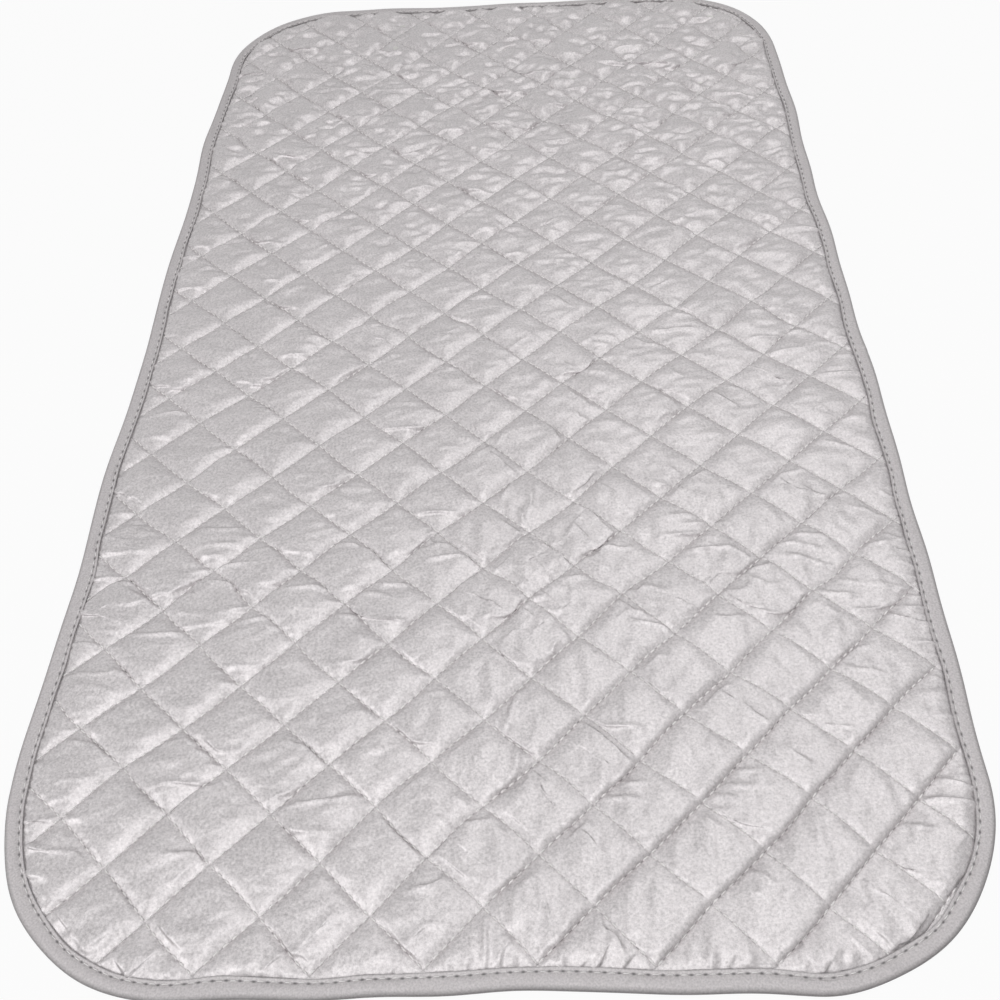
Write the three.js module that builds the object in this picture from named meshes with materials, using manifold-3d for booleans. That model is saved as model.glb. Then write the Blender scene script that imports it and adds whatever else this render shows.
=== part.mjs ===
// Quilted ironing pad with a bound edge, cut at its storage creases into four panels that fold.
// Units are millimetres. X runs across the pad, Y along it to its far end, and Z up from the table.
import * as THREE from "three";
import { mergeVertices } from "three/addons/utils/BufferGeometryUtils.js";
import Module from "manifold-3d";

const wasm = await Module();
wasm.setup();

// Outline of the pad, measured to the outside of its binding.
const PAD_WIDTH = 460;
const PAD_LENGTH = 850;
const CORNER_RADIUS = 95;
const CORNER_STEPS = 8;

// Binding: one tape folded round the edge, held by a row of stitches near its inner edge.
const BINDING_WIDTH = 10;
const TAPE_THICKNESS = 0.5;
const FOLD_STEPS = 6;
const BINDING_SEAM_INSET = 8;
const THREAD_WIDTH = 0.6;
const THREAD_HEIGHT = 0.3;

// Layers, from the table up. These are the thicknesses at a seam and inside the binding.
const BACKING_EDGE_THICKNESS = 0.4;
const WADDING_EDGE_THICKNESS = 0.4;
const COVER_THICKNESS = 0.4;
const LAYER_CLEARANCE = 0.3;
const EDGE_LAP = 1;

// Quilting: seams at 45 degrees both ways, and a puff of wadding in each diamond between them.
const DIAMOND_DIAGONAL = 50;
const SEAM_CROSSING_X = -7;
const SEAM_CROSSING_Y = -9;
const PUFF_LOFT = 3;
const PUFF_FLANK = 7;
const SMALL_PUFF_FLANK_SHARE = 0.6;

// Storage creases: one across the middle and one near each quarter.
// The quarter creases are set so that a folded end stops this far short of the middle one.
const FOLDED_END_SETBACK = 4;
const CREASE_GAP = 0.3;

// Heights of the stacked layers.
const backingEdgeBottom = TAPE_THICKNESS + LAYER_CLEARANCE;
const backingTop = backingEdgeBottom + BACKING_EDGE_THICKNESS;
const waddingBottom = backingTop + LAYER_CLEARANCE;
const waddingSeam = waddingBottom + WADDING_EDGE_THICKNESS;
const coverUnderside = waddingSeam + LAYER_CLEARANCE;
const coverSeam = coverUnderside + COVER_THICKNESS;
const tapeUnderside = coverSeam + LAYER_CLEARANCE;
const bindingTop = tapeUnderside + TAPE_THICKNESS;

// How far in from the outline the layers' cut edges lie, and where the open face begins.
const layerEdgeInset = bindingTop / 2;
const faceInset = BINDING_WIDTH + LAYER_CLEARANCE;

const quarterCrease = PAD_LENGTH / 4 + FOLDED_END_SETBACK / 2;
const creases = [-quarterCrease, 0, quarterCrease];

const coverCloth = material("coated_cotton", 0xc9c6c6, 0.45, 0.35);
const waddingFelt = material("wadding", 0xf0eeea, 0.95, 0);
const backingCloth = material("backing_cloth", 0xd8d6d2, 0.9, 0);
const tapeSatin = material("binding_tape", 0xb6b4b4, 0.5, 0);
const thread = material("thread", 0xdedcda, 0.6, 0);

function material(name, color, roughness, metalness) {
  const made = new THREE.MeshStandardMaterial({ color, roughness, metalness });
  made.name = name;
  return made;
}

// Points round the pad, drawn in from its edge by inset, counterclockwise seen from above.
function outline(inset) {
  const centreX = PAD_WIDTH / 2 - CORNER_RADIUS;
  const centreY = PAD_LENGTH / 2 - CORNER_RADIUS;
  const radius = CORNER_RADIUS - inset;
  const corners = [[1, 1], [-1, 1], [-1, -1], [1, -1]];
  return corners.flatMap(([sideX, sideY], corner) =>
    Array.from({ length: CORNER_STEPS + 1 }, (_, step) => {
      const angle = (corner + step / CORNER_STEPS) * Math.PI / 2;
      return new THREE.Vector2(
        sideX * centreX + radius * Math.cos(angle),
        sideY * centreY + radius * Math.sin(angle),
      );
    }));
}

// A closed solid from a geometry, keeping positions only.
function solid(geometry) {
  const bare = new THREE.BufferGeometry();
  bare.setAttribute("position", geometry.getAttribute("position"));
  bare.setIndex(geometry.getIndex());
  const merged = mergeVertices(bare);
  return new wasm.Manifold(new wasm.Mesh({
    numProp: 3,
    vertProperties: new Float32Array(merged.getAttribute("position").array),
    triVerts: new Uint32Array(merged.getIndex().array),
  }));
}

function solidFromTriangles(triangles) {
  return solid(new THREE.BufferGeometry().setFromPoints(triangles.flat()));
}

function quad(a, b, c, d) {
  return [[a, b, c], [a, c, d]];
}

// A flat plate whose edge is drawn in from the pad's outline.
function plate(inset, bottom, top) {
  const geometry = new THREE.ExtrudeGeometry(new THREE.Shape(outline(inset)), {
    depth: top - bottom,
    bevelEnabled: false,
  });
  return solid(geometry.translate(0, 0, bottom));
}

// A closed profile of (inset, height) points carried round the outline.
function sweep(profile) {
  const rails = profile.map(([inset, height]) =>
    outline(inset).map((point) => new THREE.Vector3(point.x, point.y, height)));
  const triangles = rails.flatMap((rail, index) => {
    const next = rails[(index + 1) % rails.length];
    return rail.flatMap((point, step) => {
      const ahead = (step + 1) % rail.length;
      return quad(point, next[step], next[ahead], rail[ahead]);
    });
  });
  return solidFromTriangles(triangles);
}

// The strip of a layer that the binding grips, running a little under the open face.
function edgeStrip(bottom, top) {
  const inner = faceInset + EDGE_LAP;
  return sweep([[layerEdgeInset, bottom], [inner, bottom], [inner, top], [layerEdgeInset, top]]);
}

// The tape folded round the edge: flat legs above and below, joined by a round fold.
function bindingRing() {
  const middle = bindingTop / 2;
  const turn = (radius, from, to) =>
    Array.from({ length: FOLD_STEPS + 1 }, (_, step) => {
      const angle = Math.PI * (from + (to - from) * step / FOLD_STEPS);
      return [middle + radius * Math.cos(angle), middle + radius * Math.sin(angle)];
    });
  return sweep([
    [BINDING_WIDTH, bindingTop],
    ...turn(middle, 0.5, 1.5),
    [BINDING_WIDTH, 0],
    [BINDING_WIDTH, TAPE_THICKNESS],
    ...turn(middle - TAPE_THICKNESS, 1.5, 0.5),
    [BINDING_WIDTH, tapeUnderside],
  ]);
}

// The row of stitches along the binding, drawn as one raised thread.
function bindingThread() {
  const outer = BINDING_SEAM_INSET - THREAD_WIDTH / 2;
  const inner = BINDING_SEAM_INSET + THREAD_WIDTH / 2;
  const top = bindingTop + THREAD_HEIGHT;
  return sweep([[outer, bindingTop], [inner, bindingTop], [inner, top], [outer, top]]);
}

// The part of a convex polygon inside a convex border, both counterclockwise.
function clip(polygon, border) {
  return border.reduce((points, from, index) => {
    const along = border[(index + 1) % border.length].clone().sub(from);
    const depth = (point) => along.cross(point.clone().sub(from));
    return points.flatMap((point, position) => {
      const next = points[(position + 1) % points.length];
      const [here, there] = [depth(point), depth(next)];
      const kept = here >= 0 ? [point] : [];
      if (here * there < 0) {
        kept.push(point.clone().lerp(next, here / (here - there)));
      }
      return kept;
    });
  }, polygon);
}

// One diamond, cut at the open face's border, with the slope of its puff.
function puffCell(centreX, centreY, border) {
  const half = DIAMOND_DIAGONAL / 2;
  const corners = [[half, 0], [0, half], [-half, 0], [0, -half]];
  const diamond = corners.map(([x, y]) => new THREE.Vector2(centreX + x, centreY + y));
  const points = clip(diamond, border);
  if (points.length < 3) {
    return null;
  }
  const sum = points.reduce((total, point) => total.add(point), new THREE.Vector2());
  const centre = sum.divideScalar(points.length);
  const reach = Math.min(...points.map((point, index) => {
    const side = points[(index + 1) % points.length].clone().sub(point);
    return side.cross(centre.clone().sub(point)) / side.length();
  }));
  const flank = Math.min(PUFF_FLANK, reach * SMALL_PUFF_FLANK_SHARE);
  const whole = points.every((point) => diamond.includes(point));
  return { points, centre, whole, topShare: 1 - flank / reach, rise: PUFF_LOFT * flank / PUFF_FLANK };
}

// Every diamond of the quilting that lies on the open face.
function puffCells() {
  const half = DIAMOND_DIAGONAL / 2;
  const border = outline(faceInset);
  const columns = Math.ceil((PAD_WIDTH / 2 + Math.abs(SEAM_CROSSING_X)) / half) + 1;
  const rows = Math.ceil((PAD_LENGTH / 2 + Math.abs(SEAM_CROSSING_Y)) / half) + 1;
  const cells = [];
  for (let row = -rows; row <= rows; row++) {
    for (let column = -columns; column <= columns; column++) {
      if ((row + column) % 2 !== 0) {
        cells.push(puffCell(SEAM_CROSSING_X + column * half, SEAM_CROSSING_Y + row * half, border));
      }
    }
  }
  return cells.filter((cell) => cell !== null);
}

function at(point, height) {
  return new THREE.Vector3(point.x, point.y, height);
}

// A flat-topped puff: slopes up from the seams round it to a smaller copy of the cell.
// A diamond that the border cuts is only heaped.
function puffedFace(cell, seam) {
  if (!cell.whole) {
    return heapedFace(cell, seam);
  }
  const tops = cell.points.map((point) =>
    at(cell.centre.clone().lerp(point, cell.topShare), seam + cell.rise));
  const slopes = cell.points.flatMap((point, index) => {
    const next = (index + 1) % tops.length;
    return quad(at(point, seam), at(cell.points[next], seam), tops[next], tops[index]);
  });
  return slopes.concat(fan(tops));
}

// A cell heaped to a point, as the wadding is inside each puff.
function heapedFace(cell, seam) {
  const peak = at(cell.centre, seam + cell.rise);
  return cell.points.map((point, index) => {
    const next = cell.points[(index + 1) % cell.points.length];
    return [at(point, seam), at(next, seam), peak];
  });
}

function flatFace(cell, height) {
  return fan(cell.points.map((point) => at(point, height)));
}

function fan(points) {
  return points.slice(2).map((point, index) => [points[0], points[index + 1], point]);
}

// A sheet over all the cells, between a lower and an upper face, with walls round its border.
function quiltedSheet(cells, lowerFace, lower, upperFace, upper) {
  const key = (point) => `${point.x.toFixed(3)},${point.y.toFixed(3)}`;
  const open = new Map();
  for (const { points } of cells) {
    points.forEach((from, index) => {
      const to = points[(index + 1) % points.length];
      const twin = `${key(to)} ${key(from)}`;
      if (!open.delete(twin)) {
        open.set(`${key(from)} ${key(to)}`, [from, to]);
      }
    });
  }
  const uppers = cells.flatMap((cell) => upperFace(cell, upper));
  const lowers = cells.flatMap((cell) => lowerFace(cell, lower)).map(([a, b, c]) => [a, c, b]);
  const walls = [...open.values()].flatMap(([from, to]) =>
    quad(at(from, lower), at(to, lower), at(to, upper), at(from, upper)));
  return solidFromTriangles([...uppers, ...lowers, ...walls]);
}

// A block that takes one panel, and one side of it if a side is given, out of a whole layer.
function panelBlock(from, to, side) {
  const length = to - from - CREASE_GAP;
  const box = new THREE.BoxGeometry(PAD_WIDTH, length, PAD_WIDTH);
  return solid(box.translate(side * PAD_WIDTH / 2, (from + to) / 2, 0));
}

function cutMesh(layer, block, name, slot) {
  const cut = layer.intersect(block).getMesh();
  const geometry = new THREE.BufferGeometry();
  geometry.setAttribute("position", new THREE.BufferAttribute(new Float32Array(cut.vertProperties), 3));
  geometry.setIndex(new THREE.BufferAttribute(new Uint32Array(cut.triVerts), 1));
  const flat = geometry.toNonIndexed();
  flat.computeVertexNormals();
  const mesh = new THREE.Mesh(flat, slot);
  mesh.name = name;
  return mesh;
}

const cells = puffCells();
const cover = quiltedSheet(cells, puffedFace, coverUnderside, puffedFace, coverSeam)
  .add(edgeStrip(coverUnderside, coverSeam));
const wadding = quiltedSheet(cells, flatFace, waddingBottom, heapedFace, waddingSeam)
  .add(edgeStrip(waddingBottom, waddingSeam));
const backing = plate(faceInset, 0, backingTop)
  .add(edgeStrip(backingEdgeBottom, backingTop));
const binding = bindingRing();
const bindingStitches = bindingThread();

// The two end panels carry the rounded ends of the binding, the middle ones a length on each side.
const bounds = [-PAD_LENGTH / 2 - CREASE_GAP, ...creases, PAD_LENGTH / 2 + CREASE_GAP];
const panels = [
  { name: "near_end", edges: [["", 0]] },
  { name: "near_middle", edges: [["_left", -1], ["_right", 1]] },
  { name: "far_middle", edges: [["_left", -1], ["_right", 1]] },
  { name: "far_end", edges: [["", 0]] },
];

const pad = new THREE.Group();
pad.name = "ironing_pad";
panels.forEach(({ name, edges }, index) => {
  const [from, to] = [bounds[index], bounds[index + 1]];
  const block = panelBlock(from, to, 0);
  pad.add(cutMesh(backing, block, `backing_${name}`, backingCloth));
  pad.add(cutMesh(wadding, block, `wadding_${name}`, waddingFelt));
  pad.add(cutMesh(cover, block, `cover_${name}`, coverCloth));
  for (const [suffix, side] of edges) {
    const edgeBlock = panelBlock(from, to, side);
    pad.add(cutMesh(binding, edgeBlock, `binding_${name}${suffix}`, tapeSatin));
    pad.add(cutMesh(bindingStitches, edgeBlock, `binding_thread_${name}${suffix}`, thread));
  }
});

export default pad;
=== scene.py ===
import math

import bpy
import numpy as np
from mathutils import Matrix, Vector


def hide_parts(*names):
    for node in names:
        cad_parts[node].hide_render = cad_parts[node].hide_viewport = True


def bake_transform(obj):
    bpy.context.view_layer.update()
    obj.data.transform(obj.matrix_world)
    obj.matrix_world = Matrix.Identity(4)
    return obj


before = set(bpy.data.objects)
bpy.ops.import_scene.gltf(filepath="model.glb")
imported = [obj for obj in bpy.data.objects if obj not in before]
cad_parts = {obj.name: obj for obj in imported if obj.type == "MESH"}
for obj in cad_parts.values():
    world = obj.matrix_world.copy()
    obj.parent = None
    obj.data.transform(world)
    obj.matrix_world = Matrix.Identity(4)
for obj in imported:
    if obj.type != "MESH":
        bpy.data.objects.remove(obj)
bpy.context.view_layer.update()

# Quilted ironing pad, seen on a white table.
# X runs across the pad, Y along it to its far end, and Z up from the table.
# Shapes are worked out in millimetres and put into the meshes in metres.
MM = 0.001

# Outline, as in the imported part, and the binding, which is 1 mm narrower here, as the photograph shows it.
PAD_WIDTH = 460.0
PAD_LENGTH = 850.0
CORNER_RADIUS = 95.0
BINDING_WIDTH = 9.0
BINDING_HEIGHT = 3.4
TAPE_THICKNESS = 0.5
BINDING_SEAM_INSET = 7.2
OUTLINE_LENGTH = 2 * (PAD_WIDTH + PAD_LENGTH) - (8 - 2 * math.pi) * CORNER_RADIUS
BINDING_PITCH_AIM = 5.8
BINDING_STITCHES = round(OUTLINE_LENGTH / BINDING_PITCH_AIM)
BINDING_STITCH_PITCH = OUTLINE_LENGTH / BINDING_STITCHES
# How far in from the outline the layers were cut, and where their meshes stop under the tape.
LAYER_EDGE_INSET = 3.0
COVER_INSET = 5.0
BACKING_INSET = 5.0
WADDING_INSET = 8.0

# Quilting: seams at 45 degrees both ways and a puff of wadding in each diamond.
DIAMOND_DIAGONAL = 50.0
DIAMOND_SIDE = DIAMOND_DIAGONAL / math.sqrt(2)
STITCHES_PER_SIDE = 7
# Where the seams cross. The rows open out a little towards the far end, where the cloth was fed slack,
# and the columns drift sideways. Highest power first, for a row count along and a share of length across.
ROW_PLACES = (0.0041, 0.086, 23.7, -16.4)
COLUMN_DRIFT = (-2.4, -6.2, -8.0)
COLUMN_STEP = 24.8
# Diamonds from the middle of the pad to its furthest corner, and one more.
CORNER_REACH = (PAD_WIDTH + PAD_LENGTH) / 2 - (2 - math.sqrt(2)) * CORNER_RADIUS
LATTICE_REACH = math.ceil(CORNER_REACH / DIAMOND_DIAGONAL) + 1
# Cells of each layer to a diamond's side. The cover has four to a stitch.
COVER_CELLS = 4 * STITCHES_PER_SIDE
WADDING_CELLS = 8
BACKING_CELLS = 12
SEAM_HEIGHT = 2.6
PUFF_LOFT = 2.8
PUFF_FLANK = 4.0
NEEDLE_DIP = 0.35
TAPE_PINCH = 0.4
CLOTH_THICKNESS = 0.4
BACKING_GROOVE = 0.7
LAYER_CLEARANCE = 0.1
# Gap under the wadding, which keeps all but specks of it inside the backing where the pad bends.
WADDING_GAP = 0.45

# Storage creases, and how wide a strip of the pad bends at each when it is folded.
QUARTER_CREASE = PAD_LENGTH / 4 + 2
QUARTER_BEND = 8.0
MIDDLE_BEND = 18.0
# Where the tape is cut into bands, and the quilted layers, about half-way between two rows of diamonds.
BAND_CUT = QUARTER_CREASE / 2
LAYER_CUT = 119.0

# Spare cloth in the cover, as a share of its length across the pad and along it, and where the tape draws the
# edge in. It is most where the pad was folded for storage: each crease has its place and its own share.
SPARE_ACROSS = 0.03
SPARE_ALONG = 0.08
EDGE_GATHER = 0.2
CROSS_CREASES = (
    (-345.0, 0.05),
    (-224.0, 0.15),
    (-190.0, 0.08),
    (-38.0, 0.09),
    (75.0, 0.06),
    (228.0, 0.09),
    (275.0, 0.09),
    (325.0, 0.09),
    (365.0, 0.07),
)
LONG_CREASES = ((-8.0, 0.12), (18.0, 0.12), (44.0, 0.12))
# Towards the near right-hand corner the puffs lean, which makes one of their sides this much steeper, and the
# seams of one direction stay up by a share of the loft.
LEAN = 2.4
FLUSH = 0.65
# Heights of the ripples all over the cover and of the pleats along the tape.
RIPPLE = 0.42
PLEAT = 0.9
# Height above which ridges of the cover are pressed down, the most that is left of them there, and how soon.
RIDGE_TOP = 6.2
RIDGE_LEFT = 0.9
RIDGE_EASE = 1.5

# Stitches: length and width of the thread that shows.
QUILTING_STITCH = (3.2, 0.85)
BINDING_STITCH = (2.8, 0.55)

# Where the tape's ends lap on the right-hand side, along the pad and as a length walked round the outline,
# with the slant and height of the lap.
LAP_Y = -41.0
LAP_PLACE = OUTLINE_LENGTH - BAND_CUT + LAP_Y
LAP_SLANT = 0.6
LAP_RISE = 0.45

# The pad is made in three bands, each with one crease in it, between two panels.
PANELS = {
    "near": ("near_end", "near_middle", -QUARTER_CREASE, QUARTER_BEND),
    "middle": ("near_middle", "far_middle", 0.0, MIDDLE_BEND),
    "far": ("far_middle", "far_end", QUARTER_CREASE, QUARTER_BEND),
}

# Camera: where the photograph was taken from, and its angles in radians.
CAMERA_PLACE = (31.5, -579.5, 499.9)
CAMERA_PITCH = 0.8638
CAMERA_ROLL = -0.0838
CAMERA_YAW = -0.0671
FOCAL_PIXELS = 1155.0
IMAGE_PIXELS = 1000.0
SENSOR_WIDTH = 36.0

# Lamps: each one's place and width in metres, and its power in watts.
SOFTBOXES = (
    ("near_left_softbox", (-1.6, -1.2, 1.2), 1.0, 11.6),
    ("near_softbox", (0.0, -1.5, 1.0), 0.8, 4.6),
    ("near_overhead_softbox", (0.0, -0.5, 1.1), 0.8, 3.9),
    ("far_overhead_softbox", (0.3, 0.4, 1.1), 0.8, 2.7),
    ("right_softbox", (0.8, 0.1, 0.9), 0.6, 0.8),
)


def edge_depth(x, y):
    """Distance in from the pad's outline, positive inside: the corner radius less the distance of the
    point from the rectangle that joins the corners' centres."""
    over_x = np.abs(x) - (PAD_WIDTH / 2 - CORNER_RADIUS)
    over_y = np.abs(y) - (PAD_LENGTH / 2 - CORNER_RADIUS)
    outside = np.hypot(np.maximum(over_x, 0), np.maximum(over_y, 0))
    return CORNER_RADIUS - outside - np.minimum(np.maximum(over_x, over_y), 0)


def waves(x, y, shortest, longest, seed, count=24):
    """Smooth seeded noise of about unit size: a sum of plane sine waves whose lengths lie between
    shortest and longest, each with its own drawn direction and phase."""
    draw = np.random.default_rng(seed)
    total = np.zeros_like(x)
    for length, angle, phase in draw.uniform((shortest, 0, 0), (longest, 2 * np.pi, 2 * np.pi), (count, 3)):
        total += np.sin(2 * np.pi * (x * np.cos(angle) + y * np.sin(angle)) / length + phase)
    return total * np.sqrt(2 / count)


def on_pad(p, q):
    """Place on the pad of a point given by its seam counts: their difference is its row, which a cubic takes
    to a length, and their sum its column, which steps evenly across and drifts along the pad."""
    y = np.polyval(ROW_PLACES, p - q)
    x = np.polyval(COLUMN_DRIFT, y / 400) + COLUMN_STEP * (p + q)
    return x, y


def quilt_lattice(cells):
    """Grid with its two directions along the two sets of seams, with cells steps to a diamond's side:
    p and q count diamonds, and a seam runs wherever one of them is whole."""
    count = np.arange(-LATTICE_REACH * cells, LATTICE_REACH * cells + 1) / cells
    p, q = np.meshgrid(count, count, indexing="ij")
    x, y = on_pad(p, q)
    return p, q, x, y


def rise(distance, flank):
    """Share of the full loft at a distance from a seam: one less a falling exponential."""
    return 1 - np.exp(-((np.maximum(distance, 0) / flank) ** 1.3))


def slackness(y):
    """How slack the cloth was fed, from nothing in the near half to one at the far end."""
    return np.clip(y / 250, 0, 1)


def leaning(x, y):
    """How far the puffs lean, from nothing to one: most in the near right-hand corner."""
    return np.clip((x + 10) / 110, 0, 1) * np.clip((-255 - y) / 80, 0, 1)


def flushness(x, y):
    """How flush the cloth lies across the seams of one direction, from nothing to one: most in the near
    right-hand part."""
    return np.clip((x + 60) / 150, 0, 1) * np.clip((-60 - y) / 150, 0, 1)


def puff(p, q, depth, lean=0.0, flush=0.0):
    """Wadding's own height as a share of its loft: the rises from the two nearest seams and from the
    binding, multiplied. Where puffs lean they rise more steeply on one side of a diamond, and less on the
    other. Where they lie flush, the seams of one direction stay up."""
    past = q - np.floor(q)
    from_p = np.abs(p - np.round(p)) * DIAMOND_SIDE
    steep = (1 - past) * (1 + LEAN * lean)
    gentle = past / (1 + 0.5 * LEAN * lean)
    from_q = np.where(past > 0.5, steep, gentle) * DIAMOND_SIDE
    beside_p = 1 - (1 - rise(from_p, PUFF_FLANK)) * (1 - FLUSH * flush)
    return beside_p * rise(from_q, PUFF_FLANK) * rise(depth - BINDING_WIDTH, PUFF_FLANK)


def cover_loft(p, q, x, y):
    """Height of the wadding under the cover, above the seams: the puffs' shape times a loft that is fuller
    where they lean or the cloth is slack, and uneven from place to place."""
    lean = leaning(x, y)
    fuller = 1 + 0.35 * lean + 0.3 * slackness(y) + 0.1 * waves(x, y, 40, 90, 21, 12)
    return PUFF_LOFT * fuller * puff(p, q, edge_depth(x, y), lean, flushness(x, y))


def seam_depth(p, q):
    """How far a point on a seam is drawn down: a cosine with its low points at the needle holes."""
    run = np.where(np.isclose(p, np.round(p)), q, p)
    return NEEDLE_DIP * (0.5 + 0.5 * np.cos(2 * np.pi * STITCHES_PER_SIDE * run))


def nearest_edge(x, y):
    """Nearest place on the outline, and the shares of the tape's direction there that run across the pad and
    along it."""
    centre_x = np.clip(x, CORNER_RADIUS - PAD_WIDTH / 2, PAD_WIDTH / 2 - CORNER_RADIUS)
    centre_y = np.clip(y, CORNER_RADIUS - PAD_LENGTH / 2, PAD_LENGTH / 2 - CORNER_RADIUS)
    away = np.maximum(np.hypot(x - centre_x, y - centre_y), 1e-6)
    out_x, out_y = (x - centre_x) / away, (y - centre_y) / away
    return centre_x + CORNER_RADIUS * out_x, centre_y + CORNER_RADIUS * out_y, np.abs(out_y), np.abs(out_x)


def spare_cloth(x, y):
    """Shares by which the cover is longer than what it covers, across the pad and along it: some all over,
    which the puffs take up, more in uneven patches and towards the far end, more where the tape draws the
    edge in, above all at the near end, and most along the creases."""
    patchy = 1 + 0.35 * waves(x, y, 40, 120, 13, 8)
    across = SPARE_ACROSS + 0.04 * np.clip(waves(x, y, 25, 80, 3), -1.0, 2)
    along = SPARE_ALONG + 0.07 * np.clip(waves(x, y, 25, 80, 5), -1.0, 2)
    along += 0.05 * slackness(y)
    wander = 5 * waves(x, y, 110, 300, 7, 6)
    for crease, share in CROSS_CREASES:
        along += share * patchy * np.exp(-(((y - crease - wander) / 16) ** 2))
    drift = 6 * waves(x, y, 150, 400, 9, 6)
    most_near = np.clip(0.5 - y / 300, 0.3, 1)
    for crease, share in LONG_CREASES:
        across += share * patchy * np.exp(-(((x - crease - drift) / 12) ** 2)) * most_near
    reach = np.maximum(edge_depth(x, y) - BINDING_WIDTH, 0)
    drawn = EDGE_GATHER * (0.4 + 0.6 * np.clip(-y / PAD_LENGTH * 3 - 0.5, 0, 1)) * np.exp(-reach / 9)
    _, _, share_x, share_y = nearest_edge(x, y)
    return across + drawn * share_x, along + drawn * share_y


def ripples(x, y):
    """Heights of the shallow ripples all over the cover: noise drawn out along the pad towards the near right
    and across it elsewhere, and narrower noise of the same kind on top."""
    along = np.clip((x + 70) / 80, 0, 1) * np.clip((-110 - y) / 60, 0, 1)
    upright = waves(x, y / 2.5, 9, 20, 61) + 0.4 * waves(x, y / 2, 4.5, 8, 62)
    level = waves(x / 2.5, y, 9, 20, 63) + 0.4 * waves(x / 2, y, 4.5, 8, 64)
    return RIPPLE * (0.75 + 1.9 * slackness(y)) * (along * upright + (1 - along) * level)


def pleats(p, q, x, y):
    """Heights of the short pleats that stand square to the tape where it draws the cloth in: noise read at
    the nearest place on the outline, so that it runs straight in from the edge, dying away within a tape's
    width and at the seams. The near end has the most."""
    edge_x, edge_y, _, _ = nearest_edge(x, y)
    reach = np.maximum(edge_depth(x, y) - BINDING_WIDTH, 0)
    from_p = np.abs(p - np.round(p)) * DIAMOND_SIDE
    from_q = np.abs(q - np.round(q)) * DIAMOND_SIDE
    strength = 0.35 + 0.65 * np.clip(-edge_y / PAD_LENGTH * 3 - 0.5, 0, 1)
    height = strength * np.maximum(waves(edge_x, edge_y, 6, 15, 51), -0.3)
    return PLEAT * height * rise(reach, 1.0) * np.exp(-reach / 6) * rise(from_p, 2.0) * rise(from_q, 2.0)


def doubled(grid):
    """Grid with a new row and column half-way between each two."""
    for _ in range(2):
        finer = np.repeat(grid, 2, axis=-1)[..., :-1]
        finer[..., 1::2] = (grid[..., 1:] + grid[..., :-1]) / 2
        grid = finer.swapaxes(-1, -2)
    return np.ascontiguousarray(grid)


def curl(grid):
    """How far each point of a grid is from the mean of its eight neighbours."""
    bent = np.zeros_like(grid)
    sides = grid[..., 2:, 1:-1] + grid[..., :-2, 1:-1] + grid[..., 1:-1, 2:] + grid[..., 1:-1, :-2]
    corners = grid[..., 2:, 2:] + grid[..., 2:, :-2] + grid[..., :-2, 2:] + grid[..., :-2, :-2]
    bent[..., 1:-1, 1:-1] = (2 * sides + corners) / 12 - grid[..., 1:-1, 1:-1]
    return bent


def settle_cover(cells, steps, stiffness, cloth=None):
    """Cloth simulation of the cover on a quilt lattice: each step moves every free point by the pull of its
    threads towards their own length, the cloth's stiffness against bending, and the wadding's push. Threads
    run along and across the pad, so those links are firm and the ones along the seams, on the bias, give.
    Points on a seam or under the tape are held. The wadding pushes hard and holds weakly, so spare cloth
    lifts off in narrow ridges. Motion carries over from step to step and dies down."""
    p, q, x, y = quilt_lattice(cells)
    depth = edge_depth(x, y)
    inside = depth > LAYER_EDGE_INSET
    whole = np.arange(len(p)) % cells == 0
    on_seam = whole[:, None] | whole[None, :]
    held = on_seam | (depth < BINDING_WIDTH)
    loft = cover_loft(p, q, x, y)
    height = SEAM_HEIGHT + loft - np.where(on_seam, seam_depth(p, q), 0)
    height -= TAPE_PINCH * (depth < BINDING_WIDTH)
    bed = np.stack([x, y, height]).astype(np.float32)
    free = (inside & ~held).astype(np.float32)
    if cloth is None:
        cloth = bed.copy()
        cloth[2] += free * (0.12 * np.random.default_rng(11).standard_normal(x.shape) - 0.5 * loft)
    else:
        cloth = np.where(held, bed, doubled(cloth))
    across, along = spare_cloth(x, y)
    size = len(p)
    # Each link's steps in p and q, its firmness, and its share that runs across the pad.
    links = ((1, 1, 1, 1), (1, -1, 1, 0), (1, 0, 0.3, 0.5), (0, 1, 0.3, 0.5))
    threads = []
    for step_p, step_q, firmness, crosswise in links:
        one = (..., slice(0, size - step_p), slice(max(0, -step_q), size - max(0, step_q)))
        other = (..., slice(step_p, size), slice(max(0, step_q), size + min(0, step_q)))
        spare = crosswise * across[one] + (1 - crosswise) * along[one]
        length = np.hypot(x[other] - x[one], y[other] - y[one]) * (1 + spare)
        pull = 0.5 * firmness * (inside[one] & inside[other])
        threads.append((one, other, length.astype(np.float32), pull.astype(np.float32)))
    firm = np.array([0.05, 0.05, stiffness], np.float32)[:, None, None]
    motion = np.zeros_like(cloth)
    for _ in range(steps):
        force = -firm * curl(curl(cloth) * free)
        for one, other, length, pull in threads:
            link = cloth[other] - cloth[one]
            link *= pull * (1 - length / np.maximum(np.sqrt((link * link).sum(0)), 1e-4))
            force[one] += link
            force[other] -= link
        gap = bed[2] - cloth[2]
        force[2] += np.where(gap > 0, 0.3 * gap, 0.02 * (gap + np.tanh(gap / 0.3)))
        motion = np.clip((0.85 * motion + 0.2 * force) * free, -0.4, 0.4)
        cloth += motion
    return cloth + 0.75 * curl(cloth) * free


def corners_of(kept):
    """Numbers of the grid points round the kept cells, counted row by row, and -1 for the others."""
    ring = np.pad(kept, 1)
    used = ring[:-1, :-1] | ring[:-1, 1:] | ring[1:, 1:] | ring[1:, :-1]
    number = np.full(used.shape, -1)
    number[used] = np.arange(used.sum())
    return number


def round_cells(number):
    """Four-sided faces of a grid of point numbers, one for each cell."""
    return np.stack([number[:-1, :-1], number[:-1, 1:], number[1:, 1:], number[1:, :-1]], -1)


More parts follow.
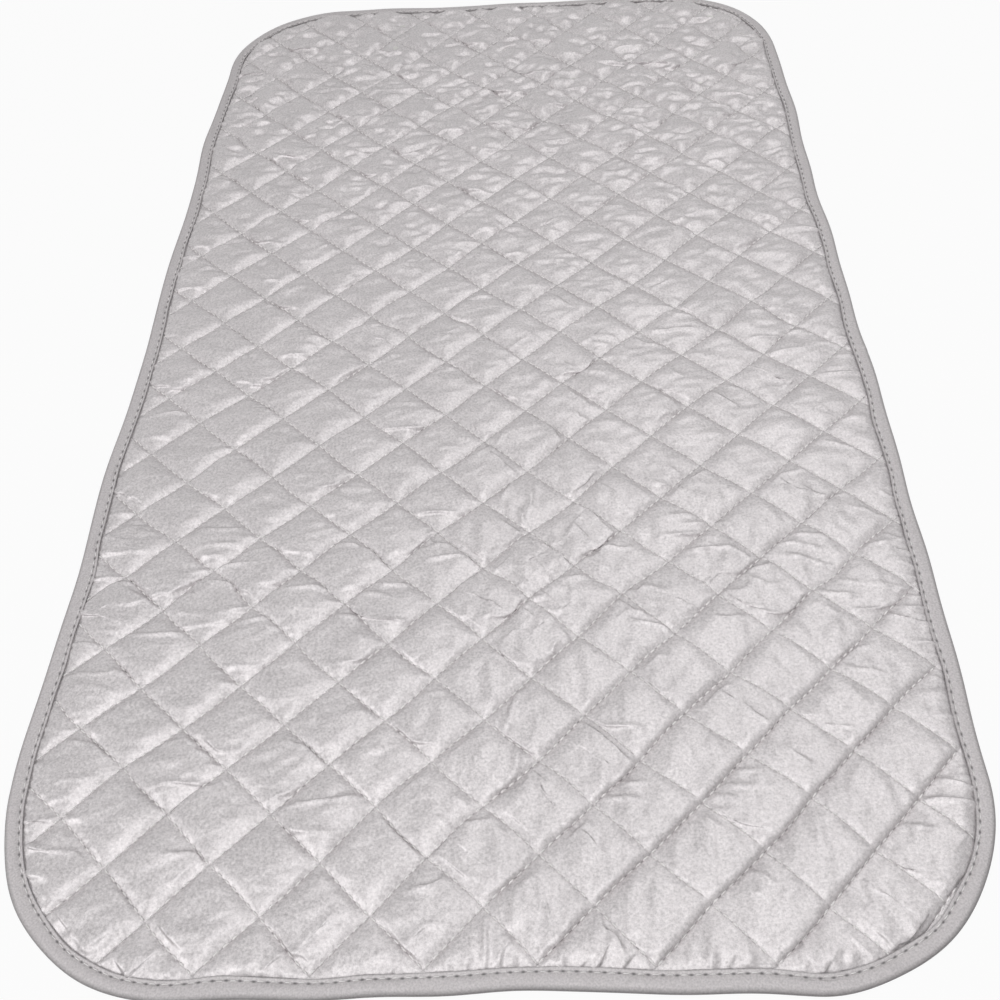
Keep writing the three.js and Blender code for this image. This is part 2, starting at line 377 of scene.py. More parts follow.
def shell(kept, top, bottom, marks):
    """Closed sheet between two grids, of which the bottom one may be coarser by a whole number. kept tells
    which of the bottom's cells are in it. The walls stand along every edge that has a kept cell on one side
    only. Returns points, lists of faces and each point's marks, which are its two pattern coordinates."""
    finer = (len(top) - 1) // (len(bottom) - 1)
    fine = kept.repeat(finer, axis=0).repeat(finer, axis=1)
    over = corners_of(fine)
    under = corners_of(kept)
    points = np.concatenate([top[over >= 0], bottom[under >= 0]])
    marks = np.concatenate([marks[over >= 0], marks[::finer, ::finer][under >= 0]])
    under = under + (over >= 0).sum()
    faces = [round_cells(over)[fine], round_cells(under)[kept][:, ::-1]]
    ring = np.pad(kept, 1)
    rows, columns = kept.shape
    back = np.arange(finer, -1, -1)
    for i, j, step_i, step_j in ((0, 0, 0, 1), (0, 1, 1, 0), (1, 1, 0, -1), (1, 0, -1, 0)):
        beyond = ring[1 - step_j : 1 - step_j + rows, 1 + step_i : 1 + step_i + columns]
        row, column = np.nonzero(kept & ~beyond)
        row, column = row + i, column + j
        above = over[row[:, None] * finer + step_i * back, column[:, None] * finer + step_j * back]
        below = np.stack([under[row, column], under[row + step_i, column + step_j]], -1)
        faces.append(np.concatenate([above, below], axis=1))
    return points, faces, marks


def sharpen_seams(mesh, marks):
    """Keeps a crease in the shading along each edge whose two ends share a whole seam count."""
    ends = np.empty(2 * len(mesh.edges), np.int32)
    mesh.edges.foreach_get("vertices", ends)
    first, second = marks[ends[0::2]], marks[ends[1::2]]
    on_seam = ((np.abs(first - np.round(first)) < 1e-4) & (np.abs(first - second) < 1e-4)).any(axis=1)
    flags = mesh.attributes.get("sharp_edge") or mesh.attributes.new("sharp_edge", "BOOLEAN", "EDGE")
    sharp = np.zeros(len(mesh.edges), bool)
    flags.data.foreach_get("value", sharp)
    flags.data.foreach_set("value", sharp | on_seam)


def make_piece(name, points, faces, finish, marks=None, seamed=False):
    """One mesh at the origin from an array of points in millimetres and a list of arrays of faces, smooth
    shaded, with the points' marks as its UV map. Cut edges, and seams where it is seamed, stay sharp."""
    corners = np.concatenate([some.ravel() for some in faces])
    sides = np.concatenate([np.full(len(some), some.shape[1]) for some in faces])
    mesh = bpy.data.meshes.new(name)
    mesh.vertices.add(len(points))
    mesh.vertices.foreach_set("co", (points * MM).astype(np.float32).ravel())
    mesh.loops.add(len(corners))
    mesh.loops.foreach_set("vertex_index", corners.astype(np.int32))
    mesh.polygons.add(len(sides))
    mesh.polygons.foreach_set("loop_start", (np.cumsum(sides) - sides).astype(np.int32))
    if marks is not None:
        layer = mesh.uv_layers.new(name="pattern")
        layer.uv.foreach_set("vector", marks[corners].astype(np.float32).ravel())
    mesh.update(calc_edges=True)
    mesh.shade_smooth()
    mesh.set_sharp_from_angle(angle=math.radians(80))
    if seamed:
        sharpen_seams(mesh, marks)
    mesh.materials.append(finish)
    piece = bpy.data.objects.new(name, mesh)
    bpy.context.scene.collection.objects.link(piece)
    return piece


def bend_at_crease(piece):
    """Bakes the placement of a band's piece into its mesh."""
    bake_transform(piece)


def fit_to_pad(piece, band, layer):
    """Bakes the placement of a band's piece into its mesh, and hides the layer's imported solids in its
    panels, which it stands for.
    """
    bend_at_crease(piece)
    first, second, _, _ = PANELS[band]
    prefixes = (f"{layer}_{first}", f"{layer}_{second}")
    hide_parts(*[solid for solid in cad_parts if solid.startswith(prefixes)])


def band_of(y, cut=BAND_CUT):
    """Which band each length along the pad belongs to: 0 near, 1 middle, 2 far."""
    return (y > -cut).astype(int) + (y > cut)


def diamond_bands(cells):
    """Band of every cell of a quilt lattice. A diamond goes whole into the band of its centre, so the bands
    part along stitched seams."""
    p, q, _, _ = quilt_lattice(cells)
    centre_p = np.floor(p[:-1, :-1] + 0.5 / cells) + 0.5
    centre_q = np.floor(q[:-1, :-1] + 0.5 / cells) + 0.5
    return band_of(on_pad(centre_p, centre_q)[1], LAYER_CUT)


def kept_cells(cells, inset):
    """Cells of a quilt lattice whose middle is further in from the outline than inset."""
    _, _, x, y = quilt_lattice(cells)
    middle_x = (x[:-1, :-1] + x[1:, 1:]) / 2
    middle_y = (y[:-1, :-1] + y[1:, 1:]) / 2
    return edge_depth(middle_x, middle_y) > inset


def lie(points):
    """How the pad lies on the table: its edge and seams wander sideways by about a millimetre, more where a
    crease has crumpled them, and it lifts slightly along each crease that once was folded."""
    x, y = points[..., 0], points[..., 1]
    lift = sum(np.exp(-(((y - crease) / 25) ** 2)) for crease in (-QUARTER_CREASE, 0.0, QUARTER_CREASE))
    crumple = (0.25 + 0.75 * lift) * np.clip(edge_depth(x, y) / 30, 0, 1)
    moved = points.copy()
    moved[..., 0] += 0.8 * waves(x, y, 140, 420, 31, 10) + 0.5 * waves(x, y, 50, 130, 34, 12)
    moved[..., 1] += 0.8 * waves(x, y, 140, 420, 32, 10) + 0.6 * waves(x, y, 50, 130, 35, 12)
    moved[..., 1] += crumple * waves(x, y, 22, 60, 36, 12)
    moved[..., 2] += lift * (0.5 + 0.25 * waves(x, y, 90, 200, 33, 8))
    return moved


def outline_stations(walked):
    """Stations at the given lengths walked round the outline, anticlockwise from the tape's far cut on the
    right-hand side back to it: each one's place and outward direction. Sides are straight and corners are
    arcs."""
    half_x = PAD_WIDTH / 2 - CORNER_RADIUS
    half_y = PAD_LENGTH / 2 - CORNER_RADIUS
    arc = CORNER_RADIUS * np.pi / 2
    lengths = [half_y - BAND_CUT, arc, 2 * half_x, arc, 2 * half_y, arc, 2 * half_x, arc, half_y + BAND_CUT]
    starts = np.concatenate([[0], np.cumsum(lengths)])
    leg = np.clip(np.searchsorted(starts, walked, side="right") - 1, 0, 8)
    along = walked - starts[leg]
    turn = (leg // 2) * np.pi / 2 + np.where(leg % 2 == 1, along / CORNER_RADIUS, 0)
    out_x, out_y = np.cos(turn), np.sin(turn)
    corner_x = np.array([half_x, half_x, half_x, -half_x, -half_x, -half_x, -half_x, half_x, half_x])[leg]
    corner_y = np.array([BAND_CUT, half_y, half_y, half_y, half_y, -half_y, -half_y, -half_y, -half_y])[leg]
    straight = np.where(leg % 2 == 0, along, 0)
    x = corner_x + CORNER_RADIUS * out_x - straight * out_y
    y = corner_y + CORNER_RADIUS * out_y + straight * out_x
    return x, y, out_x, out_y


def tape_section(thickness):
    """Folded tape's section, as insets and heights: flat on top from its inner edge, round the outer fold as
    half a circle, and back under the pad. Thickness takes the section in from the outside."""
    inset = BINDING_WIDTH - np.array([0, 0.4, 0.8, 1.2, 1.5, 1.8, 2.1, 2.4, 2.8, 3.4, 4.2, 5.2, 6.2, 7])
    fold = BINDING_HEIGHT / 2
    angle = np.linspace(np.pi / 2, -np.pi / 2, 9)
    across = np.concatenate([inset, fold - (fold - thickness) * np.cos(angle), inset[::-1]])
    flat = np.full(len(inset), fold - thickness)
    up = np.concatenate([flat, (fold - thickness) * np.sin(angle), -flat])
    return across, fold + up


def tape_surface(walked, thickness):
    """Grid of the tape's surface: its section at every station, crowned between the outer fold and the stitch
    row, and drawn in along that row as a narrow dip that is deepest at each needle hole. The inner edge
    wanders a little. At the lap, the end that is folded over stands one tape higher behind a slanted edge."""
    across, up = tape_section(thickness)
    side = np.sign(up - BINDING_HEIGHT / 2)
    length = walked[:, None]
    row = np.exp(-(((across - BINDING_SEAM_INSET) / 0.9) ** 2))
    hole = 0.5 + 0.5 * np.cos(2 * np.pi * length / BINDING_STITCH_PITCH)
    inset = across + np.where(across > 6, 0.3, 0) * waves(length, 0 * length, 15, 60, 41)
    fullness = 0.35 + 0.15 * waves(length, 0 * length, 12, 50, 42)
    crown = np.sin(np.pi * np.clip((across - 0.8) / 6, 0, 1)) * fullness
    past_lap = length - LAP_PLACE - LAP_SLANT * (across - BINDING_WIDTH / 2)
    lap = LAP_RISE / (1 + np.exp(-past_lap / 0.25)) * np.exp(-np.maximum(past_lap, 0) / 9)
    dip = row * (0.3 + 0.25 * hole)
    return inset, up + side * ((np.maximum(crown, 0) + lap) * (side > 0) - dip)


def swept_tape(thickness, walked):
    """Tape surface as points: the section's insets laid in from the outline at each station."""
    x, y, out_x, out_y = (v[:, None] for v in outline_stations(walked))
    inset, height = tape_surface(walked, thickness)
    return np.stack([x - out_x * inset, y - out_y * inset, height], -1)


def stitch_rows(x, y, along_x, along_y, height, slope, length, width, up):
    """Stitches as short rounded threads: five square rings along each, thick in the middle and sunk into the
    cloth at both ends. slope is how steeply each one climbs along its length. up is 1 for stitches on the
    face and -1 for those under the pad."""
    t = np.array([-1, -0.62, 0, 0.62, 1])
    thick = width / 2 * np.array([0.35, 0.9, 1, 0.9, 0.35])
    sink = np.array([-0.2, 0.25, 0.35, 0.25, -0.2])
    angle = np.pi / 4 + np.arange(4) * np.pi / 2
    across = thick[:, None] * np.cos(angle)[None, :]
    above = sink[:, None] + 0.8 * thick[:, None] * np.sin(angle)[None, :]
    run = np.broadcast_to((t * length / 2)[:, None], across.shape)
    middle, climb = np.reshape(height, (-1, 1, 1)), np.reshape(slope, (-1, 1, 1))
    points = np.stack(
        [
            x[:, None, None] + along_x[:, None, None] * run - along_y[:, None, None] * across,
            y[:, None, None] + along_y[:, None, None] * run + along_x[:, None, None] * across,
            np.broadcast_to(middle + climb * run + up * above, (len(x), 5, 4)),
        ],
        -1,
    ).reshape(-1, 3)
    ring = np.arange(4)
    base = np.arange(4)[:, None] * 4
    onward = (ring + 1) % 4
    tube = np.stack([base + ring, base + 4 + ring, base + 4 + onward, base + onward], -1).reshape(-1, 4)
    one = np.concatenate([tube, [[0, 1, 2, 3], [19, 18, 17, 16]]])
    if up < 0:
        one = one[:, ::-1]
    faces = (np.arange(len(x))[:, None, None] * 20 + one[None]).reshape(-1, 4)
    return points, faces


def joined(parts):
    """Several sets of points and faces as one set."""
    firsts = np.cumsum([0] + [len(points) for points, _ in parts[:-1]])
    faces = [faces + first for (_, faces), first in zip(parts, firsts)]
    return np.concatenate([points for points, _ in parts]), np.concatenate(faces)


def linear(hex_colour):
    """Linear colour from an sRGB hex value."""
    parts = [int(hex_colour[k : k + 2], 16) / 255 for k in (1, 3, 5)]
    return [v / 12.92 if v <= 0.04045 else ((v + 0.055) / 1.055) ** 2.4 for v in parts] + [1.0]


def node(tree, kind, inputs=None, **settings):
    """Adds a shader node, with its settings and with each input set to a value or linked to a socket."""
    made = tree.nodes.new(kind)
    for name, value in settings.items():
        setattr(made, name, value)
    for name, value in (inputs or {}).items():
        if isinstance(value, bpy.types.NodeSocket):
            tree.links.new(value, made.inputs[name])
        else:
            made.inputs[name].default_value = value
    return made


def new_material(name):
    """Empty node material with a Principled shader on its output."""
    material = bpy.data.materials.new(name)
    material.use_nodes = True
    return material, material.node_tree, material.node_tree.nodes["Principled BSDF"]


def wave_scale(spacing):
    """Scale of a Wave texture whose bands are spacing millimetres apart."""
    return 2 * math.pi / (20 * spacing * MM)


def coated_cotton():
    """Satin-woven cotton with a sprayed aluminium coating: a soft silver sheen, a fine metallic grain and a
    weave that only shows close up. Between stitches its seams carry dark dashes at the needle holes: the
    holes' own darkness and painted shade of the seam's groove."""
    material, tree, shader = new_material("aluminium_coated_cotton")
    place = node(tree, "ShaderNodeTexCoord").outputs["Object"]
    pattern = node(tree, "ShaderNodeUVMap", uv_map="pattern").outputs["UV"]
    # The real threads are about 0.25 mm apart. They are drawn at 0.9 mm so that they show.
    warp = node(tree, "ShaderNodeTexWave", {"Vector": place, "Scale": wave_scale(0.9)}, bands_direction="X")
    weft = node(tree, "ShaderNodeTexWave", {"Vector": place, "Scale": wave_scale(0.9)}, bands_direction="Y")
    crossing = {0: warp.outputs["Fac"], 1: weft.outputs["Fac"]}
    weave = node(tree, "ShaderNodeMath", crossing, operation="MULTIPLY")
    # Flakes of the coating, in specks of about 1.4 mm down to 0.35 mm, cloudy patches of about 30 mm where it
    # is worn, and shallow dents of about 6 mm.
    specks = {"Vector": place, "Scale": 1 / (1.4 * MM), "Detail": 2.0, "Roughness": 0.75}
    grain = node(tree, "ShaderNodeTexNoise", specks)
    cloud = node(tree, "ShaderNodeTexNoise", {"Vector": place, "Scale": 1 / (30 * MM), "Detail": 3.0})
    crumple = node(tree, "ShaderNodeTexNoise", {"Vector": place, "Scale": 1 / (6 * MM), "Detail": 3.0})
    tones = {0: grain.outputs["Fac"], 6: linear("#8E8A8B"), 7: linear("#FFFAFB")}
    tone = node(tree, "ShaderNodeMix", tones, data_type="RGBA")
    worn = node(
        tree,
        "ShaderNodeMapRange",
        {"Value": cloud.outputs["Fac"], "From Min": 0.3, "From Max": 0.7, "To Min": 0.95, "To Max": 1.03},
    )
    # Painted shade of the seam's groove, with the needle hole's own darkness: a dark dash about 0.5 mm wide
    # that runs from one stitch to the next across each hole.
    side, pitch = DIAMOND_SIDE, DIAMOND_SIDE / STITCHES_PER_SIDE
    seam_shade_dashes = [
        distance_to_hole(tree, pattern, (1, STITCHES_PER_SIDE), (0, 0), (side, 0.3 * pitch)),
        distance_to_hole(tree, pattern, (STITCHES_PER_SIDE, 1), (0, 0), (0.3 * pitch, side)),
    ]
    nearest = node(tree, "ShaderNodeMath", {0: seam_shade_dashes[0], 1: seam_shade_dashes[1]}, operation="MINIMUM")
    seam_shaded = node(
        tree,
        "ShaderNodeMapRange",
        {"Value": nearest.outputs["Value"], "From Min": 0.1, "From Max": 0.5, "To Min": 0.7, "To Max": 1.0},
    )
    factors = {0: worn.outputs["Result"], 1: seam_shaded.outputs["Result"]}
    shade = node(tree, "ShaderNodeMath", factors, operation="MULTIPLY").outputs["Value"]
    colour = node(tree, "ShaderNodeVectorMath", {0: tone.outputs[2], "Scale": shade}, operation="SCALE")
    gloss = node(
        tree,
        "ShaderNodeMapRange",
        {"Value": grain.outputs["Fac"], "From Min": 0.3, "From Max": 0.7, "To Min": 0.32, "To Max": 0.46},
    )
    threads = node(
        tree,
        "ShaderNodeBump",
        {"Height": weave.outputs["Value"], "Strength": 0.25, "Distance": 0.06 * MM},
    )
    creased = node(
        tree,
        "ShaderNodeBump",
        {
            "Height": crumple.outputs["Fac"],
            "Strength": 0.45,
            "Distance": 0.6 * MM,
            "Normal": threads.outputs["Normal"],
        },
    )
    tree.links.new(colour.outputs["Vector"], shader.inputs["Base Color"])
    tree.links.new(gloss.outputs["Result"], shader.inputs["Roughness"])
    tree.links.new(creased.outputs["Normal"], shader.inputs["Normal"])
    shader.inputs["Metallic"].default_value = 0.3
    return material


def distance_to_hole(tree, pattern, repeat, shift, spacing):
    """Distance to the nearest needle hole of a row. Pattern coordinates times repeat, less shift, are whole
    at each hole, and spacing gives the millimetres from one hole to the next in each direction."""
    half = (0.5, 0.5, 0)
    counts = node(
        tree,
        "ShaderNodeVectorMath",
        {0: pattern, 1: (*repeat, 0), 2: (half[0] - shift[0], half[1] - shift[1], 0)},
        operation="MULTIPLY_ADD",
    )
    past = node(tree, "ShaderNodeVectorMath", {0: counts.outputs["Vector"]}, operation="FRACTION")
    off = node(tree, "ShaderNodeVectorMath", {0: past.outputs["Vector"], 1: half}, operation="SUBTRACT")
    apart = node(
        tree,
        "ShaderNodeVectorMath",
        {0: off.outputs["Vector"], 1: (*spacing, 0)},
        operation="MULTIPLY",
    )
    length = node(tree, "ShaderNodeVectorMath", {0: apart.outputs["Vector"]}, operation="LENGTH")
    return length.outputs["Value"]


def satin_tape():
    """Satin polyester tape: smoother than the cover, with a low sheen and a fine grain. Its needle holes are
    dark. Shade is painted into the dent that its stitches lie in and round the outermost part of its outer
    fold, and a painted shadow runs along its turned-in edge."""
    material, tree, shader = new_material("satin_polyester_tape")
    place = node(tree, "ShaderNodeTexCoord").outputs["Object"]
    pattern = node(tree, "ShaderNodeUVMap", uv_map="pattern").outputs["UV"]
    girth = node(tree, "ShaderNodeSeparateXYZ", {"Vector": pattern}).outputs["Y"]
    grain = node(tree, "ShaderNodeTexNoise", {"Vector": place, "Scale": 1 / (0.9 * MM), "Detail": 2.0})
    tones = {0: grain.outputs["Fac"], 6: linear("#ADA8A9"), 7: linear("#F3EEEF")}
    tone = node(tree, "ShaderNodeMix", tones, data_type="RGBA")
    # Only one row of holes lies across the tape, so that direction's repeat is longer than the tape is wide.
    row, wide = BINDING_WIDTH - BINDING_SEAM_INSET, 4 * BINDING_WIDTH
    # Middle of the painted shade round the outermost part of the outer fold, as a length round the section.
    fold_shade_middle = BINDING_WIDTH + 0.3 * BINDING_HEIGHT
    repeat, shift = (1 / BINDING_STITCH_PITCH, 1 / wide), (0, row / wide)
    # Each mark's distance, where it is still fully dark, where it ends, and how dark it is: the needle holes,
    # painted shade in the stitch row's dent, painted shade round the outer fold, and a painted shadow along
    # the turned-in edge.
    marks = (
        (distance_to_hole(tree, pattern, repeat, shift, (0.6 * BINDING_STITCH_PITCH, wide)), 0.2, 0.8, 0.3),
        # Painted shade in the dent that the stitch row lies in.
        (distance_to_hole(tree, pattern, repeat, shift, (0, wide)), 0.1, 0.5, 0.72),
        (distance_to_hole(tree, pattern, repeat, (0, fold_shade_middle / wide), (0, wide)), 0.9, 3.2, 0.42),
        (girth, 0.1, 0.5, 0.6),
    )
    colour = tone.outputs[2]
    for distance, dark_to, light_from, darkest in marks:
        fade = {"From Min": dark_to, "From Max": light_from, "To Min": darkest, "To Max": 1.0}
        factor = node(tree, "ShaderNodeMapRange", {"Value": distance, **fade})
        darkened = {0: colour, "Scale": factor.outputs["Result"]}
        colour = node(tree, "ShaderNodeVectorMath", darkened, operation="SCALE").outputs["Vector"]
    relief = {"Height": grain.outputs["Fac"], "Strength": 0.3, "Distance": 0.15 * MM}
    bump = node(tree, "ShaderNodeBump", relief)
    tree.links.new(colour, shader.inputs["Base Color"])
    tree.links.new(bump.outputs["Normal"], shader.inputs["Normal"])
    shader.inputs["Roughness"].default_value = 0.5
    return material


def woven_cloth(name, dark, light, spacing, roughness):
    """Matt plain-woven cloth: threads over and under at a spacing in millimetres, with uneven tone."""
    material, tree, shader = new_material(name)
    place = node(tree, "ShaderNodeTexCoord").outputs["Object"]
    threads = {"Vector": place, "Scale": wave_scale(spacing)}
    warp = node(tree, "ShaderNodeTexWave", threads, bands_direction="X")
    weft = node(tree, "ShaderNodeTexWave", threads, bands_direction="Y")
    weave = node(tree, "ShaderNodeMath", {0: warp.outputs["Fac"], 1: weft.outputs["Fac"]}, operation="ADD")
    slub = node(tree, "ShaderNodeTexNoise", {"Vector": place, "Scale": 1 / (3 * MM), "Detail": 3.0})
    tones = {0: slub.outputs["Fac"], 6: linear(dark), 7: linear(light)}
    tone = node(tree, "ShaderNodeMix", tones, data_type="RGBA")
    relief = {"Height": weave.outputs["Value"], "Strength": 0.4, "Distance": 0.1 * MM}
    bump = node(tree, "ShaderNodeBump", relief)
    tree.links.new(tone.outputs[2], shader.inputs["Base Color"])
    tree.links.new(bump.outputs["Normal"], shader.inputs["Normal"])
    shader.inputs["Roughness"].default_value = roughness
    return material


def build_cover(finish):
    """Cover: the settled cloth as a closed sheet, cut into the three bands. Its hidden underside is coarser,
    and lies a cloth's thickness below the lowest point of the face round each of its corners."""
    p, q, x, y = quilt_lattice(COVER_CELLS)
    coarse = settle_cover(COVER_CELLS // 2, 200, 0.05)
    top = np.moveaxis(settle_cover(COVER_CELLS, 160, 0.1, coarse), 0, -1).astype(float)
    top[..., 2] += puff(p, q, edge_depth(x, y)) * ripples(x, y) + pleats(p, q, x, y)
    over = np.maximum(top[..., 2] - RIDGE_TOP, 0)
    top[..., 2] -= over - RIDGE_LEFT * np.tanh(over / RIDGE_EASE)
    step = COVER_CELLS // STITCHES_PER_SIDE
    bordered = np.pad(top[..., 2], step, mode="edge")
    around = np.lib.stride_tricks.sliding_window_view(bordered, (2 * step + 1, 2 * step + 1))
    bottom = top[::step, ::step].copy()
    bottom[..., 2] = around[::step, ::step].min(axis=(2, 3)) - CLOTH_THICKNESS
    kept = kept_cells(STITCHES_PER_SIDE, COVER_INSET)
    bands = diamond_bands(STITCHES_PER_SIDE)
    made = {}
    for number, band in enumerate(PANELS):
        points, faces, marks = shell(kept & (bands == number), lie(top), lie(bottom), np.stack([p, q], -1))
        made[band] = make_piece(f"cover_{band}", points, faces, finish, marks, seamed=True)
    return made


def build_layer(layer, cells, inset, top_of, bottom_of, finish):
    """Wadding or backing: a coarser quilt lattice between two height functions of the puff's share."""
    p, q, x, y = quilt_lattice(cells)
    share = puff(p, q, edge_depth(x, y))
    top = np.stack([x, y, top_of(share)], -1)
    bottom = np.stack([x, y, bottom_of(share)], -1)
    kept = kept_cells(cells, inset)
    bands = diamond_bands(cells)
    made = {}
    for number, band in enumerate(PANELS):
        points, faces, marks = shell(kept & (bands == number), lie(top), lie(bottom), np.stack([p, q], -1))
        made[band] = make_piece(f"{layer}_{band}", points, faces, finish, marks, seamed=True)
    return made


def build_binding(finish):
    """Binding: the folded tape swept round the outline, cut into the three bands, with closer stations at
    the lap."""
    walked = np.linspace(0, OUTLINE_LENGTH, 3 * BINDING_STITCHES + 1)
    walked = np.union1d(walked, LAP_PLACE + np.arange(-5, 5, 0.2))
    outer = swept_tape(0.0, walked)
    inner = swept_tape(TAPE_THICKNESS, walked)
    _, y, _, _ = outline_stations(walked)
    across, up = tape_section(0.0)
    girth = np.concatenate([[0], np.cumsum(np.hypot(np.diff(across), np.diff(up)))])
    marks = np.stack(np.meshgrid(walked, girth, indexing="ij"), -1)
    bands = np.broadcast_to(band_of((y[:-1] + y[1:]) / 2)[:, None], (len(y) - 1, len(across) - 1))
    made = {}
    for number, band in enumerate(PANELS):
        points, faces, uv = shell(bands == number, lie(outer), lie(inner), marks)
        made[band] = make_piece(f"binding_{band}", points, faces, finish, uv)
    return made


def build_quilting_thread(finish):
    """Quilting stitches: a whole number of them on each diamond's side, on the face and under the pad. Those
    on the face follow the cover up and down."""
    reach = LATTICE_REACH * STITCHES_PER_SIDE
    seams = np.arange(-LATTICE_REACH, LATTICE_REACH + 1)
    runs = (np.arange(-reach, reach) + 0.5) / STITCHES_PER_SIDE
    seam, run = np.meshgrid(seams, runs, indexing="ij")
    seam, run = seam.ravel(), run.ravel()
    ends = []
    for end in (run - 0.5 / STITCHES_PER_SIDE, run + 0.5 / STITCHES_PER_SIDE):
        p, q = np.concatenate([seam, end]), np.concatenate([end, seam])
        x, y = on_pad(p, q)
        ends.append((x, y, SEAM_HEIGHT + cover_loft(p, q, x, y)))
    first, last = np.array(ends)
    kept = edge_depth(*(first + last)[:2] / 2) > BINDING_WIDTH + 1
    middle, step = ((first + last) / 2)[:, kept], (last - first)[:, kept]
    along = step / np.hypot(step[0], step[1])
    bands = band_of(middle[1])
    made = {}
    for number, band in enumerate(PANELS):
        x, y, height = middle[:, bands == number]
        along_x, along_y, slope = along[:, bands == number]
        parts = [
            stitch_rows(x, y, along_x, along_y, height, slope, *QUILTING_STITCH, 1),
            stitch_rows(x, y, along_x, along_y, BACKING_GROOVE, 0.0, *QUILTING_STITCH, -1),
        ]
        points, faces = joined(parts)
        made[band] = make_piece(f"quilting_thread_{band}", lie(points), [faces], finish)
    return made


def build_binding_thread(finish):
    """Binding stitches: one row along the tape near its inner edge, on the face and under the pad."""
    x, y, out_x, out_y = outline_stations((np.arange(BINDING_STITCHES) + 0.5) * BINDING_STITCH_PITCH)
    x = x - out_x * BINDING_SEAM_INSET
    y = y - out_y * BINDING_SEAM_INSET
    bands = band_of(y)
    made = {}
    for number, band in enumerate(PANELS):
        here = bands == number
        parts = [
            stitch_rows(x[here], y[here], -out_y[here], out_x[here], height, 0.0, *BINDING_STITCH, up)
            for height, up in ((BINDING_HEIGHT - 0.3, 1), (0.35, -1))
        ]
        points, faces = joined(parts)
        made[band] = make_piece(f"binding_thread_{band}", lie(points), [faces], finish)
    return made


def set_camera():
    """Camera at the photograph's place: its axes from pitch, yaw and roll, its lens from the focal length."""
    forward = np.array(
        [
            math.sin(CAMERA_YAW) * math.cos(CAMERA_PITCH),
            math.cos(CAMERA_YAW) * math.cos(CAMERA_PITCH),
            -math.sin(CAMERA_PITCH),
        ]
    )
    level = np.array([math.cos(CAMERA_YAW), -math.sin(CAMERA_YAW), 0])
    upright = np.cross(level, forward)
    right = math.cos(CAMERA_ROLL) * level + math.sin(CAMERA_ROLL) * upright
    up = math.cos(CAMERA_ROLL) * upright - math.sin(CAMERA_ROLL) * level
    data = bpy.data.cameras.new("camera")
    data.sensor_width = SENSOR_WIDTH
    data.lens = FOCAL_PIXELS / IMAGE_PIXELS * SENSOR_WIDTH
    camera = bpy.data.objects.new("camera", data)
    turn = Matrix([list(row) for row in np.stack([right, up, -forward], -1)]).to_4x4()
    camera.matrix_world = Matrix.Translation([c * MM for c in CAMERA_PLACE]) @ turn
    bpy.context.scene.collection.objects.link(camera)
    bpy.context.scene.camera = camera


def backdrop_rays(tree):
    """1 for rays that see the background itself, from the camera or in a gloss or through glass."""
    path = node(tree, "ShaderNodeLightPath")
    first = node(
        tree,
        "ShaderNodeMath",
        {0: path.outputs["Is Camera Ray"], 1: path.outputs["Is Glossy Ray"]},
        operation="MAXIMUM",
    )
    return node(
        tree,
        "ShaderNodeMath",
        {0: first.outputs["Value"], 1: path.outputs["Is Transmission Ray"]},
        operation="MAXIMUM",
    ).outputs["Value"]


def add_softbox(name, place, size, energy):
    """Square area lamp at a place in metres, turned to the middle of the pad."""
    lamp = bpy.data.lights.new(name, "AREA")
    lamp.shape = "SQUARE"
    lamp.size = size
    lamp.energy = energy
    softbox = bpy.data.objects.new(name, lamp)
    softbox.location = place
    softbox.rotation_euler = Vector(place).to_track_quat("Z", "Y").to_euler()
    bpy.context.scene.collection.objects.link(softbox)


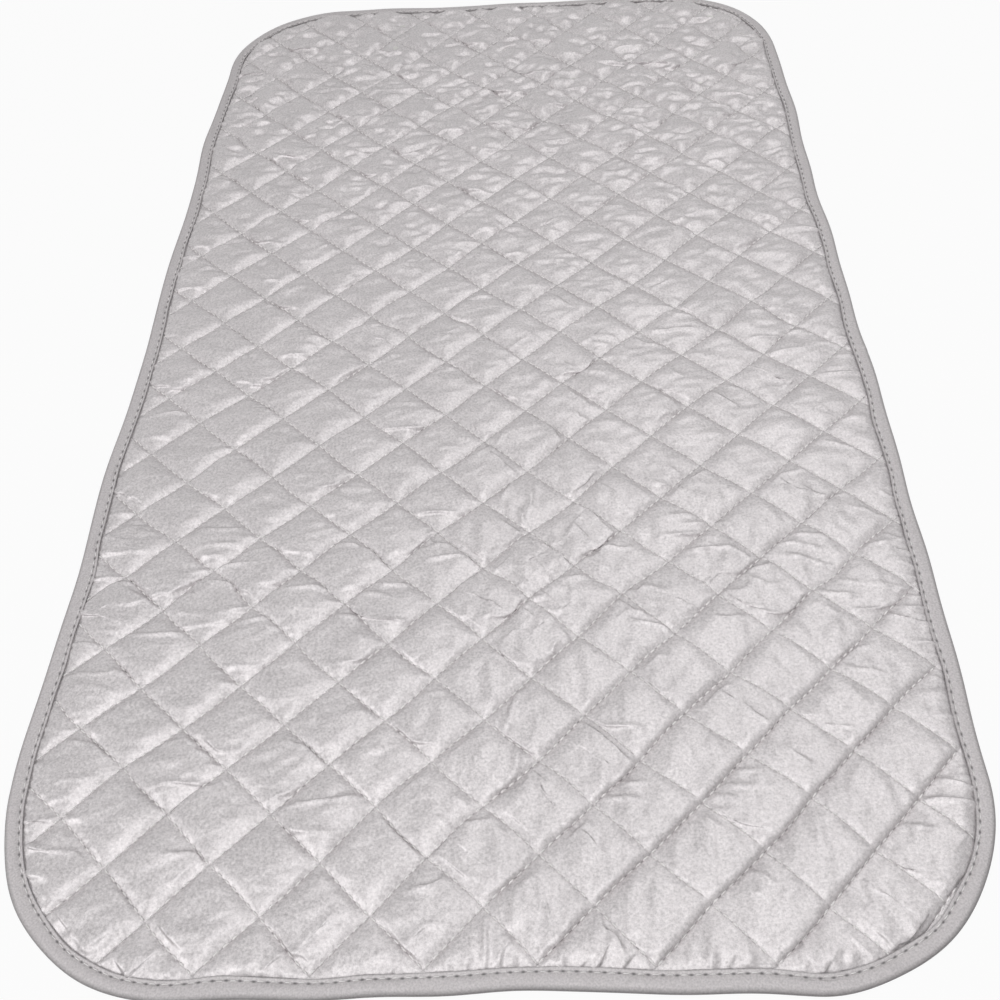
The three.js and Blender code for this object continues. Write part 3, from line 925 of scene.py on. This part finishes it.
def set_stage():
    """White table, white surroundings and soft lamps."""
    floor_reach = 4000.0
    corners = np.array([[-1, -1, 0], [1, -1, 0], [1, 1, 0], [-1, 1, 0]]) * floor_reach - [0, 0, 0.6]
    material, tree, shader = new_material("white_table")
    # White to the eye. The share that takes light is greyer, so little of it comes back up under the edge.
    shader.inputs["Base Color"].default_value = linear("#B4B4B4")
    shader.inputs["Roughness"].default_value = 0.9
    glow = node(tree, "ShaderNodeEmission", {"Color": (1, 1, 1, 1), "Strength": 1.0})
    share = node(tree, "ShaderNodeMath", {0: backdrop_rays(tree), 1: 0.95}, operation="MULTIPLY")
    mixed = node(
        tree,
        "ShaderNodeMixShader",
        {0: share.outputs["Value"], 1: shader.outputs["BSDF"], 2: glow.outputs["Emission"]},
    )
    tree.links.new(mixed.outputs["Shader"], tree.nodes["Material Output"].inputs["Surface"])
    table = make_piece("table", corners, [np.array([[0, 1, 2, 3]])], material)

    world = bpy.data.worlds.new("studio")
    bpy.context.scene.world = world
    world.use_nodes = True
    tree = world.node_tree
    bright = node(
        tree,
        "ShaderNodeMapRange",
        {"Value": backdrop_rays(tree), "To Min": 0.1, "To Max": 1.0},
    )
    tree.links.new(bright.outputs["Result"], tree.nodes["Background"].inputs["Strength"])
    tree.nodes["Background"].inputs["Color"].default_value = (1, 1, 1, 1)
    for name, place, size, energy in SOFTBOXES:
        add_softbox(name, place, size, energy)


set_camera()
set_stage()
bpy.context.scene.view_settings.view_transform = "Standard"

cover_finish = coated_cotton()
tape_finish = satin_tape()
backing_finish = woven_cloth("plain_woven_backing", "#C4C2C0", "#D0CECC", 1.0, 0.85)
wadding_finish = woven_cloth("needled_polyester_wadding", "#EDECE8", "#F5F4F0", 2.0, 0.95)
thread_finish = woven_cloth("twisted_polyester_thread", "#F1EFEE", "#FCFAF9", 0.6, 0.6)

covers = build_cover(cover_finish)
waddings = build_layer(
    "wadding",
    WADDING_CELLS,
    WADDING_INSET,
    lambda share: SEAM_HEIGHT - NEEDLE_DIP - CLOTH_THICKNESS - LAYER_CLEARANCE + 0.4 * PUFF_LOFT * share,
    lambda share: BACKING_GROOVE * (1 - share) + CLOTH_THICKNESS + WADDING_GAP * (1 - 0.4 * (1 - share)),
    wadding_finish,
)
backings = build_layer(
    "backing",
    BACKING_CELLS,
    BACKING_INSET,
    lambda share: BACKING_GROOVE * (1 - share) + CLOTH_THICKNESS,
    lambda share: BACKING_GROOVE * (1 - share),
    backing_finish,
)
bindings = build_binding(tape_finish)
quilting_threads = build_quilting_thread(thread_finish)
binding_threads = build_binding_thread(thread_finish)

for band in PANELS:
    fit_to_pad(covers[band], band, "cover")
    fit_to_pad(waddings[band], band, "wadding")
    fit_to_pad(backings[band], band, "backing")
    fit_to_pad(bindings[band], band, "binding")
    fit_to_pad(binding_threads[band], band, "binding_thread")
    bend_at_crease(quilting_threads[band])
